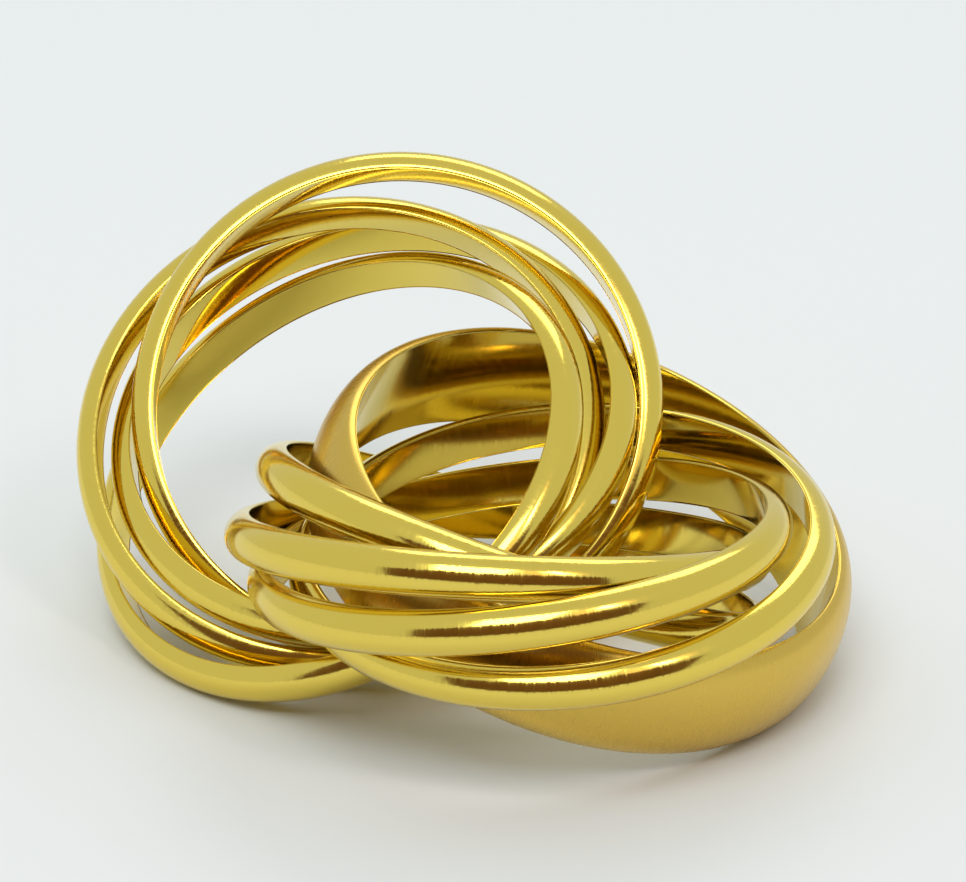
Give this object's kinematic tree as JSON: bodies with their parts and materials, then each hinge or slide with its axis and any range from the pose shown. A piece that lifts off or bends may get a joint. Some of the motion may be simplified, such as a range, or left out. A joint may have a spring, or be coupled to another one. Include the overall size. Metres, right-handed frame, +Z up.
{
  "type": "rolling ring",
  "caption": "Rolling ring of plain domed polished gold bands, narrow ones and a broad one, each linked through every other, lying in a leaning sheaf and a flat sheaf.",
  "frame": {"origin": "middle of the footprint, on the surface the ring lies on", "axes": "+Z up, +Y away from the viewer, +X to the viewer's right. The leaning sheaf is towards -X, and the flat sheaf towards +X and -Y."},
  "size_m": [0.0284, 0.0264, 0.0155],
  "materials": {
    "gold": "polished yellow gold, with a faint fine brushing across it"
  },
  "bodies": {
    "root": {"leaning_band_rear": "gold", "leaning_band_middle": "gold", "leaning_band_left": "gold", "leaning_band_front": "gold", "lying_band_top": "gold", "lying_band_crossing": "gold", "lying_band_second": "gold", "lying_band_third": "gold", "lying_band_bottom": "gold"}
  },
  "joints": []
}
